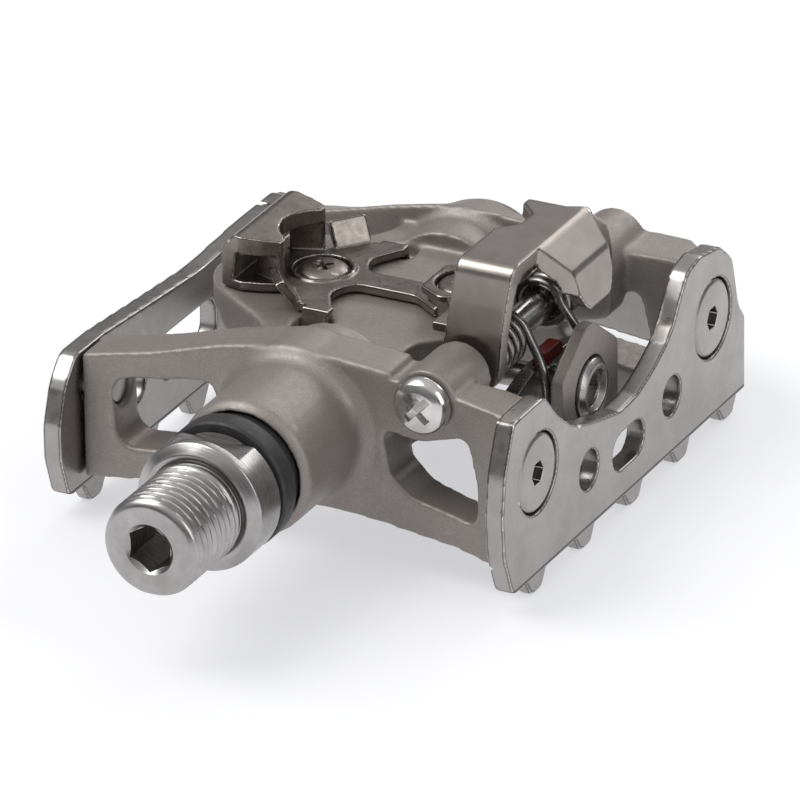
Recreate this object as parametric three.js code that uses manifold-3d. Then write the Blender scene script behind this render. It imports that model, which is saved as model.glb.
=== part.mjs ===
// Bicycle pedal with a spring-loaded cleat binding on one side and a toothed cage on the other.
// Frame: millimetres. The axle runs along Y and its centre line is the Y axis. The origin is the centre
// of the axle collar's crank face. +Y points away from the crank, +X to the rear of the pedal (the
// releasing claw), +Z out of the side with the binding.

import * as THREE from "three";
import { mergeVertices } from "three/addons/utils/BufferGeometryUtils.js";
import Module from "manifold-3d";

const wasm = await Module();
wasm.setup();

// ---------- driving dimensions ----------
const GAP = 0.3; // clearance left between two pieces that touch

// axle
const THREAD_D = 14.29; // 9/16 inch
const THREAD_PITCH = 25.4 / 20;
const THREAD_DEPTH = 0.72;
const AXLE_END = -13.3;
const HEX_SOCKET = 6;
const COLLAR_R = 9.4;
const COLLAR_END = 6.7;
const WRENCH_FLATS = 15;
const SHAFT_R = 4.8;
const AXLE_TIP_R = 3.5;
const AXLE_TIP_Y = 86.2;

// bearings
const BALL_R = 1.19; // 3/32 inch balls
const BALL_CIRCLE = 6.35;
const BALLS = 12;
const INNER_BALLS_Y = 20.2;
const OUTER_BALLS_Y = 78.0;
const CUP_R = 8.4;

// body casting
const BARREL_R = 10.03;
const BARREL_START = 13.2;
const BARREL_END = 87.9;
const BEARING_BORE_R = CUP_R + GAP;
const SHAFT_BORE_R = 5.3;
const CUP_LENGTH = 3.2;
const DECK_Z = 7.4;
const MID_Y = 58.6; // the binding is symmetric about this line

// cage
const CAGE_X = 35.7;
const PLATE_T = 2.8;
const BAR_END_X = CAGE_X - PLATE_T - GAP;
const TOOTH_PITCH = 15.1;
const TOOTH_START = 29.2;
const CREASE_Z = -15.7;
const TOOTH_Z = -18.9;
const BOLT_Z = -0.7;
const BOLT_YS = [31.2, 86.0];
const BOLT_HEAD_R = 5.6; // on the rear plate
const FRONT_HEAD_R = 3.4;

// binding
const PIVOT = { x: 19.8, z: 7.5 };
const PIN_R = 2.2;
const BOSS_R = 4.65;
const PLATE_Z = DECK_Z + GAP;
const PLATE_TOP = 9.0;
const BOSS_TOP = 11.5;
const SCREW_X = 11;
const CLAW_TOP = 22.8;
const SHEET = 2.3; // thickness of the claw's sheet
const TENSION_Z = -0.9;

// ---------- materials ----------
const finish = (color, roughness, metalness) =>
  new THREE.MeshStandardMaterial({ color, roughness, metalness });
const CASTING = finish(0x8b8580, 0.5, 0.6);
const CHROME = finish(0xc9c8c8, 0.16, 1);
const STEEL = finish(0xb4b2b0, 0.25, 1);
const NICKEL = finish(0x8d837c, 0.28, 1);
const GUNMETAL = finish(0x5a5552, 0.3, 1);
const RESIN = finish(0x2b2a2a, 0.6, 0);
const RED = finish(0x8e1712, 0.45, 0);

// ---------- helpers ----------
// A three.js geometry as a manifold solid, turned so that it faces outwards.
function solid(geometry) {
  const g = geometry.clone();
  g.deleteAttribute("normal");
  g.deleteAttribute("uv");
  const m = mergeVertices(g, 1e-4);
  const index = [];
  for (let i = 0; i < m.index.count; i += 3) {
    const [a, b, c] = [m.index.getX(i), m.index.getX(i + 1), m.index.getX(i + 2)];
    if (a !== b && b !== c && a !== c) index.push(a, b, c);
  }
  const build = (tris) =>
    new wasm.Manifold(
      new wasm.Mesh({
        numProp: 3,
        vertProperties: new Float32Array(m.attributes.position.array),
        triVerts: new Uint32Array(tris),
      }),
    );
  const made = build(index);
  if (made.volume() > 0) return made;
  for (let i = 0; i < index.length; i += 3) {
    [index[i + 1], index[i + 2]] = [index[i + 2], index[i + 1]];
  }
  return build(index);
}

const join = (...pieces) => pieces.flat().reduce((a, b) => a.add(b));
const cut = (from, ...tools) => from.subtract(join(...tools));
const common = (...pieces) => pieces.reduce((a, b) => a.intersect(b));

// Polygon with rounded corners: each point is [x, y] or [x, y, radius].
function outline(points, step = 22) {
  const out = [];
  points.forEach((p, i) => {
    const here = new THREE.Vector2(p[0], p[1]);
    if (!p[2]) {
      out.push(here);
      return;
    }
    const last = points[(i + points.length - 1) % points.length];
    const next = points[(i + 1) % points.length];
    const back = new THREE.Vector2(last[0], last[1]).sub(here);
    const on = new THREE.Vector2(next[0], next[1]).sub(here);
    const half = Math.acos(back.dot(on) / back.length() / on.length()) / 2;
    const reach = Math.min(p[2] / Math.tan(half), 0.49 * back.length(), 0.49 * on.length());
    const radius = reach * Math.tan(half);
    const a = back.setLength(reach).add(here);
    const b = on.setLength(reach).add(here);
    const middle = a.clone().add(b).multiplyScalar(0.5);
    const centre = middle.clone().sub(here).setLength(radius / Math.sin(half)).add(here);
    const from = Math.atan2(a.y - centre.y, a.x - centre.x);
    let turn = Math.atan2(b.y - centre.y, b.x - centre.x) - from;
    turn = Math.atan2(Math.sin(turn), Math.cos(turn));
    const n = Math.max(1, Math.round(Math.abs(turn) / THREE.MathUtils.degToRad(step)));
    for (let k = 0; k <= n; k++) {
      const t = from + (turn * k) / n;
      out.push(new THREE.Vector2(centre.x + radius * Math.cos(t), centre.y + radius * Math.sin(t)));
    }
  });
  return out;
}

// Circle or ellipse as an outline.
const circle = (x, y, r, n = 24, ry = r) =>
  Array.from({ length: n }, (_, i) => {
    const t = (2 * Math.PI * i) / n;
    return new THREE.Vector2(x + r * Math.cos(t), y + ry * Math.sin(t));
  });

// An outline pushed along one axis, from one coordinate to another. The plane names the outline's axes.
const FRAMES = {
  xy: [[1, 0, 0], [0, 1, 0], [0, 0, 1]],
  xz: [[1, 0, 0], [0, 0, 1], [0, -1, 0]],
  yz: [[0, 1, 0], [0, 0, 1], [1, 0, 0]],
};
function prism(plane, points, from, to) {
  const [u, v, w] = FRAMES[plane].map((a) => new THREE.Vector3(...a));
  const geometry = new THREE.ExtrudeGeometry(new THREE.Shape(points), {
    depth: to - from,
    bevelEnabled: false,
  });
  const start = plane === "xz" ? -to : from;
  const place = new THREE.Matrix4().makeBasis(u, v, w).setPosition(w.clone().multiplyScalar(start));
  return solid(geometry.applyMatrix4(place));
}

// A profile of [radius, y] turned about the Y axis.
const turned = (profile, n = 32) =>
  solid(new THREE.LatheGeometry(profile.map((p) => new THREE.Vector2(p[0], p[1])), n));

const rod = (x, z, r, from, to, n = 24) => prism("xz", circle(x, z, r, n), from, to);
const mirrored = (points) => points.concat(points.slice().reverse().map(([x, y, r]) => [x, -y, r]));
const about = (points, y) => points.map(([a, b, r]) => [a, b + y, r]);
const hexagon = (x, y, flats, turn = 0) =>
  Array.from({ length: 6 }, (_, i) => {
    const t = turn + (i * Math.PI) / 3;
    return new THREE.Vector2(x + (flats * Math.cos(t)) / Math.sqrt(3), y + (flats * Math.sin(t)) / Math.sqrt(3));
  });

// A solid turned about a line parallel to an axis.
function swung(piece, axis, degrees, centre) {
  const [x, y, z] = centre;
  const turn = { x: [degrees, 0, 0], y: [0, degrees, 0], z: [0, 0, degrees] }[axis];
  return piece.translate([-x, -y, -z]).rotate(turn).translate([x, y, z]);
}

// A round or square bar along a path of points.
function bar(path, r, sides, steps) {
  const curve = new THREE.CatmullRomCurve3(path, false, "catmullrom", 0.5);
  const geometry = new THREE.ExtrudeGeometry(new THREE.Shape(circle(0, 0, r, sides)), {
    steps,
    extrudePath: curve,
    bevelEnabled: false,
  });
  return solid(geometry);
}

const root = new THREE.Group();
root.name = "clipless_pedal";
function add(name, piece, material) {
  const made = piece.getMesh();
  const g = new THREE.BufferGeometry();
  g.setAttribute("position", new THREE.BufferAttribute(new Float32Array(made.vertProperties), 3));
  g.setIndex(new THREE.BufferAttribute(new Uint32Array(made.triVerts), 1));
  g.computeVertexNormals();
  const mesh = new THREE.Mesh(g, material);
  mesh.name = name;
  root.add(mesh);
}

// ---------- axle ----------
// Right-hand thread as one surface: the radius follows the helix and fades out at both ends.
function threadedRod(from, to, radius, depth, pitch, around = 18, perTurn = 4) {
  const rows = Math.round(((to - from) / pitch) * perTurn);
  const positions = [0, from, 0];
  for (let j = 0; j <= rows; j++) {
    const y = from + ((to - from) * j) / rows;
    const fade = Math.min(1, (to - y) / pitch);
    for (let i = 0; i < around; i++) {
      const t = (2 * Math.PI * i) / around;
      const phase = (((y / pitch - i / around) % 1) + 1) % 1;
      const groove = Math.max(0, 1 - Math.abs(phase - 0.5) * 2.6) * depth * fade;
      const lead = Math.max(0, from + 1.1 - y);
      const r = Math.min(radius - groove, radius - lead);
      positions.push(r * Math.sin(t), y, r * Math.cos(t));
    }
  }
  positions.push(0, to, 0);
  const index = [];
  const at = (j, i) => 1 + j * around + (i % around);
  const top = 1 + (rows + 1) * around;
  for (let i = 0; i < around; i++) {
    index.push(0, at(0, i + 1), at(0, i));
    index.push(top, at(rows, i), at(rows, i + 1));
    for (let j = 0; j < rows; j++) {
      index.push(at(j, i), at(j, i + 1), at(j + 1, i));
      index.push(at(j + 1, i), at(j, i + 1), at(j + 1, i + 1));
    }
  }
  const g = new THREE.BufferGeometry();
  g.setAttribute("position", new THREE.Float32BufferAttribute(positions, 3));
  g.setIndex(index);
  return solid(g);
}

const axleBody = turned([
  [0, -1.6],
  [6.6, -1.6],
  [6.6, 0.2],
  [7.2, 0.2],
  [7.2, 0],
  [7.9, 0],
  [COLLAR_R, 1.1],
  [COLLAR_R, COLLAR_END],
  [8.3, COLLAR_END],
  [8.3, 7.3],
  [7.0, 7.3],
  [7.0, 17.2],
  [6.6, 18.3],
  [4.9, 19.3],
  [SHAFT_R, 21.0],
  [SHAFT_R, 22],
  [SHAFT_R, 76.6],
  [AXLE_TIP_R, 76.6],
  [AXLE_TIP_R, AXLE_TIP_Y - 0.6],
  [AXLE_TIP_R - 0.6, AXLE_TIP_Y],
  [0, AXLE_TIP_Y],
]);
const flatCut = (side) =>
  prism("yz", outline([
    [2.2, side * 7.5, 0],
    [2.2, side * 12, 0],
    [7.2, side * 12, 0],
    [7.2, side * 7.5, 0],
  ]), -12, 12);
add(
  "axle",
  cut(
    join(
      threadedRod(AXLE_END, -1.2, THREAD_D / 2, THREAD_DEPTH, THREAD_PITCH),
      axleBody,
    ),
    flatCut(1),
    flatCut(-1),
    prism("xz", hexagon(0, 0, HEX_SOCKET), AXLE_END - 1, AXLE_END + 8),
    turned([[0, AXLE_END - 0.01], [3.9, AXLE_END - 0.01], [3.0, AXLE_END + 0.5], [0, AXLE_END + 0.5]], 24),
  ),
  STEEL,
);

// ---------- lock sleeve and bearings ----------
add(
  "lock_sleeve",
  turned([
    [7.35, 7.7],
    [9.2, 7.7],
    [9.52, 8.1],
    [9.52, 10.9],
    [9.2, 11.3],
    [CUP_R, 11.3],
    [CUP_R, 19.0],
    [7.35, 19.0],
    [7.35, 7.7],
  ]),
  RESIN,
);

function cup(y, side) {
  const profile = [
    [CUP_R, -0.6],
    [7.95, -0.6],
    [7.9, 0.5],
    [7.2, 1.4],
    [5.8, 1.9],
    [5.8, CUP_LENGTH - 0.6],
    [CUP_R, CUP_LENGTH - 0.6],
    [CUP_R, -0.6],
  ];
  return turned(profile.map(([r, t]) => [r, y + side * t]), 24);
}

function ballRing(y) {
  const ring = turned([
    [BALL_CIRCLE - 0.4, y - 0.25],
    [BALL_CIRCLE + 0.4, y - 0.25],
    [BALL_CIRCLE + 0.4, y + 0.25],
    [BALL_CIRCLE - 0.4, y + 0.25],
    [BALL_CIRCLE - 0.4, y - 0.25],
  ], 12);
  const balls = Array.from({ length: BALLS }, (_, i) => {
    const t = (2 * Math.PI * i) / BALLS;
    const ball = new THREE.OctahedronGeometry(BALL_R, 1);
    ball.translate(BALL_CIRCLE * Math.sin(t), y, BALL_CIRCLE * Math.cos(t));
    return solid(ball);
  });
  return join(ring, balls);
}

add("inboard_cup", cup(INNER_BALLS_Y, 1), STEEL);
add("inboard_balls", ballRing(INNER_BALLS_Y), STEEL);
add("outboard_cup", cup(OUTER_BALLS_Y, -1), STEEL);
add("outboard_balls", ballRing(OUTER_BALLS_Y), STEEL);
add(
  "outboard_cone",
  turned([
    [3.8, 77.2],
    [4.8, 77.2],
    [4.9, 78.9],
    [6.6, 79.9],
    [6.6, 82.0],
    [3.8, 82.0],
    [3.8, 77.2],
  ], 24),
  STEEL,
);
add(
  "key_washer",
  cut(
    join(
      rod(0, 0, 5.5, 82.3, 83.2),
      prism("xz", outline([[-1.4, 4], [1.4, 4], [1.4, 7.2, 0.5], [-1.4, 7.2, 0.5]]), 82.3, 83.2),
    ),
    rod(0, 0, 3.8, 82, 84),
  ),
  STEEL,
);
add(
  "lock_nut",
  cut(prism("xz", hexagon(0, 0, 10.5), 83.5, 86.0), rod(0, 0, 3.8, 83, 87)),
  STEEL,
);
add(
  "end_cap",
  turned([
    [0, 87.0],
    [8.3, 87.0],
    [8.3, BARREL_END + GAP],
    [9.5, BARREL_END + GAP],
    [9.5, 88.5],
    [8.6, 88.9],
    [6.2, 89.2],
    [3.0, 89.35],
    [0, 89.4],
  ]),
  CASTING,
);

// ---------- body casting ----------
const barrel = turned([
  [0, BARREL_START],
  [9.1, BARREL_START],
  [BARREL_R, 14.3],
  [BARREL_R, 27.0],
  [10.6, 28.2],
  [11.9, 29.2],
  [11.9, 36.2],
  [10.8, 37.2],
  [BARREL_R, 38.6],
  [BARREL_R, 79.6],
  [10.8, 80.6],
  [11.4, 81.3],
  [11.0, 83.0],
  [10.0, 87.2],
  [9.8, BARREL_END],
  [0, BARREL_END],
], 36);

// The side profile both crossbars share, seen along the axle.
const barProfile = outline([
  [-BAR_END_X, 4.6],
  [-21.8, 6.8, 20],
  [-11.6, 9.6, 12],
  [-5, 11.0, 12],
  [3.5, 11.6, 8],
  [8.5, 10.6, 6],
  [12.5, 9.8, 6],
  [23.9, 9.2],
  [BAR_END_X, 8.7],
  [BAR_END_X, -14.6],
  [29.6, -14.2, 3],
  [13.2, -12.2, 20],
  [3.7, -11.6, 20],
  [-9, -12.0, 20],
  [-25.5, -13.2, 20],
  [-31, -13.9],
  [-BAR_END_X, -14.1],
]);
const frontWindow = outline([
  [-27.8, 1.7, 2],
  [-27.6, -8.6, 2.6],
  [-14.8, -7.4, 2.4],
  [-11.8, -3.6, 2.5],
  [-13.0, 3.9, 2],
]);
const rearWindow = outline([
  [13.0, 2.0, 1.2],
  [14.3, -4.8, 2.2],
  [17.6, -7.4, 2.2],
  [27.6, -9.4, 1.6],
  [27.9, -3.6, 6],
  [26.3, 3.4, 1.4],
  [18.8, 1.2, 2],
]);
const innerBarPlan = outline([
  [-BAR_END_X, 28.0],
  [-21, 28.6, 10],
  [-12.6, 29.3],
  [14, 29.2],
  [24.6, 28.9, 4],
  [BAR_END_X, 27.0],
  [BAR_END_X, 34.6],
  [24.6, 35.2, 2],
  [15, 36.6],
  [-11, 36.5, 4],
  [-22, 35.7, 20],
  [-BAR_END_X, 35.2],
]);
const outerBarPlan = outline([
  [-BAR_END_X, 81.2],
  [-22, 81.0, 20],
  [-11, 80.8, 4],
  [15, 81.0],
  [24.6, 81.4, 2],
  [BAR_END_X, 82.4],
  [BAR_END_X, 88.4],
  [30.6, 90.0, 1],
  [26, 89.8, 6],
  [17.5, 88.5, 6],
  [13.5, 87.7, 6],
  [-16.5, 87.8, 6],
  [-26, 89.7, 8],
  [-30.6, 89.8, 1],
  [-BAR_END_X, 88.4],
]);
const crossbar = (plan) =>
  cut(
    common(prism("xy", plan, -16, 13), prism("xz", barProfile, 20, 95)),
    prism("xz", frontWindow, 20, 95),
    prism("xz", rearWindow, 20, 95),
  );

// The outboard crossbar's top falls away towards its outer edge, from the front to the axle line.
const slopedTop = (piece) =>
  piece.warp((v) => {
    if (v[2] < 4 || v[1] < 85.5) return;
    v[2] -= 2.8 * (1 - THREE.MathUtils.smoothstep(v[0], 6, 15));
  });

// The front lobe under the fixed claw and the block under the rear screw.
const lobePlan = outline(about(mirrored([
  [-27.6, 0, 0],
  [-26.3, 4, 6],
  [-23.2, 8, 8],
  [-18.8, 11.2, 20],
  [-13.4, 14.9, 8],
  [-10.6, 18.2, 5],
  [-9.6, 22.6],
  [-6, 22.6],
]).slice(1), MID_Y));
const lobeSide = outline([
  [-27.8, 6.6],
  [-27.4, 3.8, 2],
  [-22, 1.6, 6],
  [-14, -3.4, 6],
  [-6, -8.0],
  [0, -8.0],
  [0, DECK_Z],
  [-24, DECK_Z],
]);
const rearPlan = outline(about(mirrored([
  [4, 16.5],
  [9.6, 16.5],
  [10.2, 12.4, 3],
  [14.6, 8.6, 3],
  [15.2, 4.0],
]), MID_Y));
const rearSide = outline([
  [2, DECK_Z],
  [14.2, DECK_Z],
  [15.2, 6.4],
  [15.2, -4.5, 3],
  [8, -8.6],
  [2, -8.6],
]);
const bosses = [
  common(rod(PIVOT.x, PIVOT.z, BOSS_R, 29.2, 40.0), rod(0, 0, 60, 28, 41, 8)),
  rod(PIVOT.x, PIVOT.z, BOSS_R, 76.8, 88.6),
];
// Low webs that tie the pivot bosses to the barrel and to the crossbars.
const bossWebs = [
  prism("xz", outline([[9, 5.6], [19.8, 5.6], [24.2, 5.0], [24.2, 0.5, 2], [18, -1], [9, -5]]), 35.8, 39.8),
  prism("xz", outline([[9, 5.6], [19.8, 5.6], [24.2, 5.0], [24.2, 0.5, 2], [18, -1], [9, -5]]), 77.0, 82),
];
const deckCut = prism("xy", outline([[-12, 42], [12, 42], [12, 74.4], [-12, 74.4]]), DECK_Z, 14);
const footPockets = [-1, 1].map((s) =>
  prism("xy", outline([
    [-8.3, MID_Y + s * 11.2],
    [-3.5, MID_Y + s * 11.2],
    [-3.5, MID_Y + s * 15.4, 0.8],
    [-8.3, MID_Y + s * 15.4, 0.8],
  ]), 5.4, 12),
);
const screwHoles = [-1, 1].map((s) => prism("xy", circle(s * SCREW_X, MID_Y, 2.4, 16), 1.4, 12));
const boltBores = BOLT_YS.flatMap((y) => [
  prism("yz", circle(y, BOLT_Z, 2.6, 16), -40, -26),
  prism("yz", circle(y, BOLT_Z, 2.6, 16), 26, 40),
]);
// The barrel spreads round the bolt bores inside each crossbar end.
const bore = [
  turned([
    [0, 13],
    [BEARING_BORE_R, 13],
    [BEARING_BORE_R, INNER_BALLS_Y + CUP_LENGTH],
    [SHAFT_BORE_R, INNER_BALLS_Y + CUP_LENGTH],
    [SHAFT_BORE_R, OUTER_BALLS_Y - CUP_LENGTH],
    [BEARING_BORE_R, OUTER_BALLS_Y - CUP_LENGTH],
    [BEARING_BORE_R, 89],
    [0, 89],
  ], 28),
];
add(
  "body_casting",
  cut(
    join(
      cut(barrel, deckCut),
      crossbar(innerBarPlan),
      slopedTop(crossbar(outerBarPlan)),
      common(prism("xy", lobePlan, -9, DECK_Z), prism("xz", lobeSide, 30, 86)),
      common(prism("xy", rearPlan, -9, DECK_Z), prism("xz", rearSide, 30, 86)),
      bosses,
      bossWebs,
    ),
    bore,
    footPockets,
    screwHoles,
    boltBores,
    rod(PIVOT.x, PIVOT.z, PIN_R + GAP, 26, 86.6, 18),
    prism("yz", circle(MID_Y, TENSION_Z, 2.2, 16), 8, 20),
  ),
  CASTING,
);

// ---------- cage ----------
// The loop seen from above: half of its outer outline, from the plate to the middle of the loop.
const LOOP_T = 3.0;
const loopHalf = new THREE.SplineCurve([
  [CAGE_X, 90],
  [35.6, 94],
  [34.8, 97.2],
  [32.9, 100.3],
  [29.8, 102.7],
  [25.0, 104.4],
  [18.0, 106.0],
  [9.4, 107.3],
  [0, 107.7],
].map(([x, y]) => new THREE.Vector2(x, y))).getPoints(17);
function loopPlan() {
  const half = [new THREE.Vector2(CAGE_X, 88)].concat(loopHalf);
  const outer = half.concat(half.slice(0, -1).reverse().map((p) => new THREE.Vector2(-p.x, p.y)));
  const inner = outer.map((p, i) => {
    const before = outer[Math.max(0, i - 1)];
    const after = outer[Math.min(outer.length - 1, i + 1)];
    const along = after.clone().sub(before).normalize();
    return new THREE.Vector2(p.x - along.y * LOOP_T, p.y + along.x * LOOP_T);
  });
  inner[0].x = CAGE_X - PLATE_T;
  inner[inner.length - 1].x = PLATE_T - CAGE_X;
  return outer.concat(inner.reverse());
}

const teeth = (from, to) =>
  Array.from({ length: 5 }, (_, i) => {
    const y = TOOTH_START + i * TOOTH_PITCH;
    return prism("yz", outline([
      [y - 1.3, CREASE_Z + 0.5],
      [y - 0.9, CREASE_Z],
      [y + 1.2, TOOTH_Z, 0.8],
      [y + 4.4, TOOTH_Z, 0.9],
      [y + 6.3, CREASE_Z],
      [y + 6.5, CREASE_Z + 0.5],
    ], 30), from, to);
  });
const rearPlate = outline([
  [24.0, 9.7, 0.6],
  [33.4, 9.8, 2],
  [37.3, 5.4, 4],
  [41.7, 1.9, 4],
  [47, 0, 6],
  [53.3, -1.6, 8],
  [59.2, -3, 10],
  [66.9, -0.5, 10],
  [72.4, 2.2, 6],
  [75.4, 6.4, 4],
  [78.0, 9.6, 3],
  [82, 10.4, 3],
  [88.4, 9.3, 2],
  [92.4, 6.0, 3],
  [94.6, -2.6, 4],
  [96.4, -4.6],
  [96.4, CREASE_Z],
  [23.4, CREASE_Z, 1.5],
  [20.9, -9.4, 4],
  [20.4, -3.4, 4],
  [21.2, 2.8, 4],
]);
const frontPlate = outline([
  [27.4, 4.6, 2],
  [35.6, 4.6, 6],
  [48, 3.6, 20],
  [64, 2.4, 20],
  [80, 3.2, 6],
  [90.0, 3.2, 2],
  [92.8, 1.6, 3],
  [94.6, -3.0, 4],
  [96.4, -4.6],
  [96.4, CREASE_Z],
  [24.4, CREASE_Z, 1.5],
  [22.3, -9.5, 4],
  [22.2, -4.6, 4],
  [24.2, 1.2, 4],
]);
const frontWindowPlate = outline([
  [51.0, -10.0, 2.8],
  [51.0, -3.0, 2.8],
  [68.0, -3.0, 2.8],
  [68.0, -10.0, 2.8],
]);
const loopSide = outline([
  [87.5, -0.5],
  [92.5, 4.0, 2],
  [94.8, -3.0, 4],
  [99, -5.2, 4],
  [112, -5.2],
  [112, -14.0],
  [100, CREASE_Z, 3],
  [87.5, CREASE_Z],
]);
const headRadius = (side) => (side < 0 ? FRONT_HEAD_R : BOLT_HEAD_R);
const boltSeats = BOLT_YS.flatMap((y) => [-1, 1].flatMap((s) => {
  const outer = s * (CAGE_X + 1);
  const seat = s * (CAGE_X - 1.7);
  return [
    prism("yz", circle(y, BOLT_Z, headRadius(s) + GAP, 28), Math.min(outer, seat), Math.max(outer, seat)),
    prism("yz", circle(y, BOLT_Z, 2.8, 16), Math.min(outer, s * 30), Math.max(outer, s * 30)),
  ];
}));
const slot = outline([
  [54.2, -11.3, 2.6],
  [54.2, -5.9, 2.6],
  [64.0, -5.9, 2.6],
  [64.0, -11.3, 2.6],
]);
const plateHoles = (from, to) => [
  prism("yz", circle(46.8, -7, 2.9, 20), from, to),
  prism("yz", circle(72.8, -7, 2.9, 20), from, to),
  prism("yz", slot, from, to),
];
// Small grip notches across the top of the loop.
const loopNotches = [-9.6, 0, 9.6].map((x) =>
  prism("xz", outline([[x - 1.2, -4], [x - 0.7, -6.2], [x + 0.7, -6.2], [x + 1.2, -4]]), 100, 112),
);
add(
  "cage",
  cut(
    join(
      prism("yz", rearPlate, CAGE_X - PLATE_T, CAGE_X),
      prism("yz", frontPlate, -CAGE_X, PLATE_T - CAGE_X),
      common(prism("xy", loopPlan(), -20, 12), prism("yz", loopSide, -40, 40)),
      teeth(CAGE_X - PLATE_T, CAGE_X - 0.7),
      teeth(0.7 - CAGE_X, PLATE_T - CAGE_X),
    ),
    boltSeats,
    plateHoles(30, 40),
    prism("yz", circle(44.0, -7, 2.9, 20), -40, -30),
    prism("yz", circle(75.0, -7, 2.9, 20), -40, -30),
    prism("yz", frontWindowPlate, -40, -30),
    loopNotches,
  ),
  CHROME,
);

const boltNames = { "-1": "front", 1: "rear" };
for (const side of [-1, 1]) {
  BOLT_YS.forEach((y, i) => {
    const along = (a, b) => [Math.min(side * a, side * b), Math.max(side * a, side * b)];
    const head = prism("yz", circle(y, BOLT_Z, headRadius(side), 32), ...along(CAGE_X - 1.4, CAGE_X));
    const shank = prism("yz", circle(y, BOLT_Z, 2.3, 20), ...along(28.4, CAGE_X - 1));
    const socket = prism("yz", hexagon(y, BOLT_Z, 3, Math.PI / 6), ...along(CAGE_X - 2.4, CAGE_X + 1));
    const name = "cage_bolt_" + boltNames[side] + (i ? "_outboard" : "_inboard");
    add(name, cut(join(head, shank), socket), CHROME);
  });
}

// ---------- binding plate with the fixed front claw ----------
const plateHalf = [
  [-22.4, 7.6],
  [-19.3, 8.3, 1],
  [-14.6, 6.9, 1],
  [-12.7, 7.0],
  [-9.3, 11.3],
  [-7.9, 11.2],
  [-7.9, 12.3],
  [-3.9, 12.3],
  [-3.8, 11.0, 0.6],
  [-6.6, 6.2, 2.6],
  [-5.2, 2.2, 2.4],
  [4.6, 2.2, 3],
  [8.2, 4.8, 2],
  [9.0, 5.0],
];
const rearCross = outline(about([
  [11.4, 0],
  [11.4, 6.4],
  [13.2, 8.6],
  [13.2, 14.6, 0.4],
  [17.0, 14.6, 0.4],
  [17.3, 5.8],
  [18.1, 2.7],
  [18.1, -2.7],
  [17.3, -5.8],
  [17.0, -14.6, 0.4],
  [13.2, -14.6, 0.4],
  [13.2, -8.6],
  [11.4, -6.4],
], MID_Y));
const hexBoss = outline(about([
  [6.1, 3.8, 0.8],
  [9.9, 6.0, 0.8],
  [18.0, 2.8, 0.8],
  [18.0, -2.8, 0.8],
  [9.9, -6.0, 0.8],
  [6.1, -3.8, 0.8],
], MID_Y));
const clawLip = outline(about(mirrored([
  [-17.0, 0],
  [-16.6, 1.9],
  [-15.5, 3.8],
  [-13.8, 5.5, 0.6],
  [-13.8, 6.8, 0.8],
  [-16.4, 7.9, 1],
  [-19.3, 8.7, 1],
  [-22.6, 8.0],
]).slice(1), MID_Y));
// The claw seen from the side: seat, front wall and the lip that overhangs the cleat's tongue.
const clawSide = outline([
  [-12, PLATE_Z],
  [-22.6, PLATE_Z],
  [-22.6, 13.5, 1.8],
  [-20.4, 15.8, 1.4],
  [-12, 15.1],
  [-12, 13.0],
  [-20.0, 13.1, 0.6],
  [-20.6, PLATE_TOP],
  [-12, PLATE_TOP],
]);
const clawWeb = (s) =>
  prism("xy", outline([
    [-18.2, MID_Y + s * 3.9],
    [-13.9, MID_Y + s * 5.7],
    [-14.1, MID_Y + s * 7.0],
    [-18.4, MID_Y + s * 5.2],
  ]), PLATE_TOP - 0.2, 13.8);
// Upturned tabs on the diagonal wings, leaning out from their bend line.
function wingTab(s) {
  const length = Math.hypot(3.4, 4.3);
  const side = outline([[0, 0], [1.3, 0], [-1.7, 4.6], [-2.9, 4.0]]);
  const sheet = prism("xz", side, 0, length);
  const turn = (Math.atan2(-3.4, 4.3) * 180) / Math.PI;
  const placed = sheet.rotate([0, 0, turn + 0.001]).translate([-12.7, 7.0, PLATE_TOP - 1.2]);
  return (s > 0 ? placed : placed.mirror([0, 1, 0])).translate([0, MID_Y, 0]);
}
const wingFoot = (s) =>
  prism("yz", outline([
    [MID_Y + s * 10.6, PLATE_Z],
    [MID_Y + s * 10.6, PLATE_TOP],
    [MID_Y + s * 12.2, PLATE_TOP, 1],
    [MID_Y + s * 12.9, 6.0],
    [MID_Y + s * 11.7, 6.0],
    [MID_Y + s * 11.7, PLATE_Z],
  ]), -7.9, -3.9);
const endPad = (s) =>
  prism("xy", outline([
    [13.2, MID_Y + s * 9.4],
    [17.0, MID_Y + s * 9.4],
    [17.0, MID_Y + s * 14.6, 0.4],
    [13.2, MID_Y + s * 14.6, 0.4],
  ]), BOSS_TOP - 0.5, BOSS_TOP + 0.5);
add(
  "binding_plate",
  cut(
    join(
      prism("xy", outline(about(mirrored(plateHalf), MID_Y)), PLATE_Z, PLATE_TOP),
      common(prism("xy", clawLip, 6, 18), prism("xz", clawSide, 40, 76)),
      clawWeb(1),
      clawWeb(-1),
      wingTab(1),
      wingTab(-1),
      wingFoot(1),
      wingFoot(-1),
      prism("xy", hexBoss, 10.4, BOSS_TOP),
      prism("xy", circle(SCREW_X, MID_Y, 5.0, 28), PLATE_Z, BOSS_TOP),
      prism("xy", rearCross, 10.7, BOSS_TOP),
      endPad(1),
      endPad(-1),
      prism("xy", circle(-SCREW_X, MID_Y, 4.7, 28), PLATE_Z, PLATE_TOP + 0.35),
    ),
    prism("xy", circle(-SCREW_X, MID_Y, 4.1, 28), 8.3, 12),
    prism("xy", circle(-SCREW_X, MID_Y, 2.6, 16), 7, 12),
    prism("xy", circle(SCREW_X, MID_Y, 4.1, 28), 10.3, 13),
    prism("xy", circle(SCREW_X, MID_Y, 2.6, 16), 7, 12),
  ),
  GUNMETAL,
);

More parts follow.
